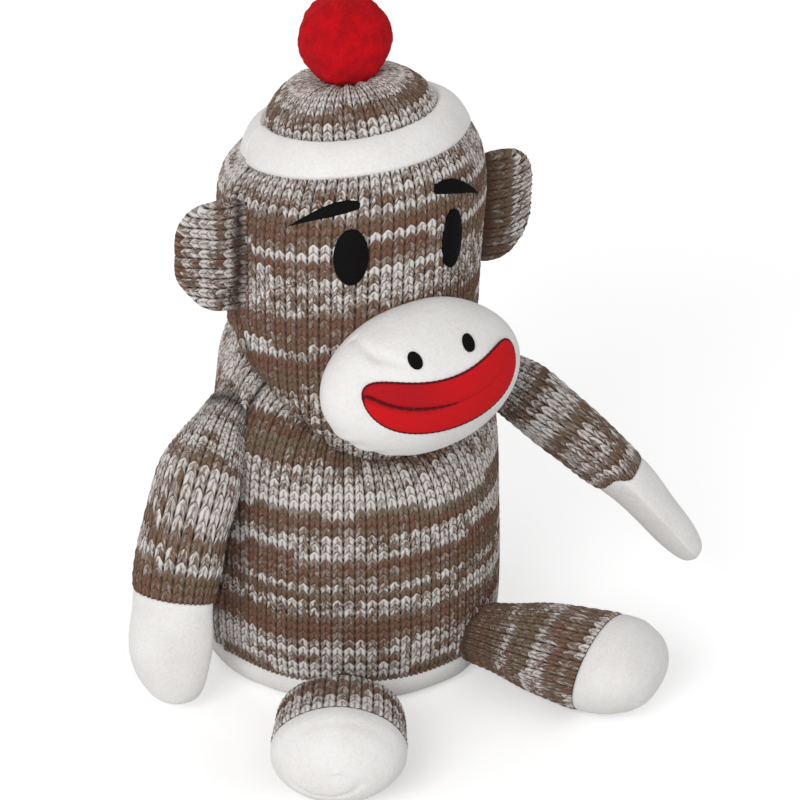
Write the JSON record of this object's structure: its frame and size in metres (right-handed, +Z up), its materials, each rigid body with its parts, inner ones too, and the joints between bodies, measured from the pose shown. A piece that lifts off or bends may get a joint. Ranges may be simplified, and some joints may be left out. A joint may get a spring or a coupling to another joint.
{
  "type": "sock monkey doll",
  "caption": "Seated knitted monkey doll with white hands, feet and muzzle, a red smile, a banded hat with a pompom, and a head, arms, legs and ears that move.",
  "frame": {"origin": "middle of the flat underside of the round base, on the surface the doll sits on", "axes": "+Z up through the head, -Y the way the face looks, -X the doll's own right side"},
  "size_m": [0.2248, 0.1831, 0.2617],
  "materials": {
    "knit": "matte",
    "fleece": "matte",
    "fibre": "matte",
    "pellets": "matte",
    "pompom": "matte",
    "red_felt": "matte",
    "dark_red_thread": "matte",
    "black_thread": "matte"
  },
  "bodies": {
    "torso": {"body_front_panel": "knit", "body_back_panel": "knit", "base_panel": "fleece", "body_stuffing": "fibre", "pellet_bag": "pellets", "neck_stuffing": "fibre"},
    "head": {"head_front_panel": "knit", "head_back_panel": "knit", "head_stuffing": "fibre", "hat_crown": "knit", "hat_band": "fleece", "pompom": "pompom", "muzzle": "fleece", "muzzle_stuffing": "fibre", "upper_lip": "red_felt", "lower_lip": "red_felt", "mouth_stitching": "dark_red_thread", "nostril_right": "black_thread", "nostril_left": "black_thread", "eye_right": "black_thread", "eye_left": "black_thread", "eyebrow_right": "black_thread", "eyebrow_left": "black_thread"},
    "ear_right_pad": {"ear_right": "knit"},
    "ear_left_pad": {"ear_left": "knit"},
    "arm_right": {"arm_right_sleeve": "knit", "arm_right_hand": "fleece", "arm_right_stuffing": "fibre"},
    "arm_left": {"arm_left_sleeve": "knit", "arm_left_hand": "fleece", "arm_left_stuffing": "fibre"},
    "leg_right": {"leg_right_sleeve": "knit", "leg_right_foot": "fleece", "leg_right_stuffing": "fibre"},
    "leg_left": {"leg_left_sleeve": "knit", "leg_left_foot": "fleece", "leg_left_stuffing": "fibre"}
  },
  "joints": [
    {"name": "neck_nod", "type": "hinge", "parent": "torso", "child": "head", "pos_m": [0, 0, 0.122], "axis": [1, 0, 0], "range_deg": [-12, 6], "stiffness_Nm_per_rad": 0.3},
    {"name": "ear_right_fold", "type": "hinge", "parent": "head", "child": "ear_right_pad", "pos_m": [-0.05028, -0.00839, 0.17284], "axis": [-0.0224, 0, -0.9997], "range_deg": [-30, 40], "stiffness_Nm_per_rad": 0.01},
    {"name": "ear_left_fold", "type": "hinge", "parent": "head", "child": "ear_left_pad", "pos_m": [0.05149, -0.00839, 0.17324], "axis": [0.0341, 0, 0.9994], "range_deg": [-30, 40], "stiffness_Nm_per_rad": 0.01},
    {"name": "shoulder_right_raise", "type": "hinge", "parent": "torso", "child": "arm_right", "pos_m": [-0.0505, -0.002, 0.1085], "axis": [-0.7314, 0.682, 0], "range_deg": [-5, 90]},
    {"name": "shoulder_left_raise", "type": "hinge", "parent": "torso", "child": "arm_left", "pos_m": [0.0505, -0.002, 0.1085], "axis": [-0.7314, -0.682, 0], "range_deg": [-10, 85]},
    {"name": "hip_right_lift", "type": "hinge", "parent": "torso", "child": "leg_right", "pos_m": [-0.02874, -0.05038, 0.0185], "axis": [-0.8686, 0.4955, 0], "range_deg": [-40, 35]},
    {"name": "hip_left_lift", "type": "hinge", "parent": "torso", "child": "leg_left", "pos_m": [0.02874, -0.05038, 0.0185], "axis": [-0.8686, -0.4955, 0], "range_deg": [-40, 35]}
  ]
}
